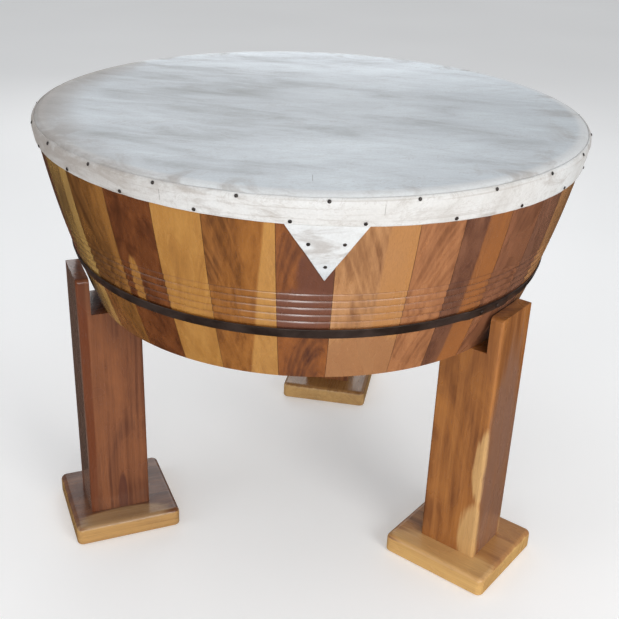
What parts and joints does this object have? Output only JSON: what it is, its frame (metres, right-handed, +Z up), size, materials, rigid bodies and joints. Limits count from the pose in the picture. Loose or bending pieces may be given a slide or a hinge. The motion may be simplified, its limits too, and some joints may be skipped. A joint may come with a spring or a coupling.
{
  "type": "stave drum on three posts",
  "caption": "Large shallow stave drum with a tacked rawhide head and an iron hoop, resting in the notches of separate timber posts on square foot plates.",
  "frame": {"origin": "on the floor, under the middle of the drum", "axes": "+Z up along the drum's axis; the rear post stands close to +Y and the pointed tongue of the head faces -Y"},
  "size_m": [0.9996, 0.9996, 0.805],
  "materials": {
    "stave_wood_light": "clear gloss varnish over pale golden stave",
    "stave_wood_mid": "clear gloss varnish over brown stave",
    "stave_wood_dark": "clear gloss varnish over dark red-brown stave",
    "rawhide_head": "dry off-white rawhide, clouded",
    "rawhide_strip": "dry pale rawhide strip",
    "tack_iron": "blackened domed tacks",
    "hoop_iron": "black flat bar, lightly polished",
    "post_wood": "clear gloss varnish",
    "plate_wood": "clear gloss varnish",
    "screw_steel": "plain zinc"
  },
  "bodies": {
    "stand": {"foot_plate_left": "plate_wood", "foot_plate_rear": "plate_wood", "foot_plate_right": "plate_wood", "foot_screws_left": "screw_steel", "foot_screws_rear": "screw_steel", "foot_screws_right": "screw_steel", "leg_post_left": "post_wood", "leg_post_rear": "post_wood", "leg_post_right": "post_wood"},
    "drum": {"stave_01": "stave_wood_mid", "stave_02": "stave_wood_mid", "stave_03": "stave_wood_dark", "stave_04": "stave_wood_light", "stave_05": "stave_wood_mid", "stave_06": "stave_wood_dark", "stave_07": "stave_wood_mid", "stave_08": "stave_wood_mid", "stave_09": "stave_wood_dark", "stave_10": "stave_wood_mid", "stave_11": "stave_wood_mid", "stave_12": "stave_wood_mid", "stave_13": "stave_wood_mid", "stave_14": "stave_wood_dark", "stave_15": "stave_wood_light", "stave_16": "stave_wood_mid", "stave_17": "stave_wood_dark", "stave_18": "stave_wood_mid", "stave_19": "stave_wood_mid", "stave_20": "stave_wood_dark", "stave_21": "stave_wood_mid", "stave_22": "stave_wood_mid", "stave_23": "stave_wood_mid", "stave_24": "stave_wood_mid", "stave_25": "stave_wood_dark", "stave_26": "stave_wood_light", "stave_27": "stave_wood_mid", "stave_28": "stave_wood_dark", "stave_29": "stave_wood_mid", "stave_30": "stave_wood_mid", "stave_31": "stave_wood_dark", "stave_32": "stave_wood_mid", "stave_33": "stave_wood_mid", "drumhead": "rawhide_head", "hide_skirt": "rawhide_head", "lapping_strip": "rawhide_strip", "tacks_upper_row": "tack_iron", "tacks_lower_row": "tack_iron", "tacks_tongue": "tack_iron", "iron_hoop": "hoop_iron", "hoop_rivets": "hoop_iron"}
  },
  "joints": [
    {"name": "drum_lift", "type": "slide", "parent": "stand", "child": "drum", "axis": [0, 0, 1], "range_m": [0, 0.25]}
  ]
}
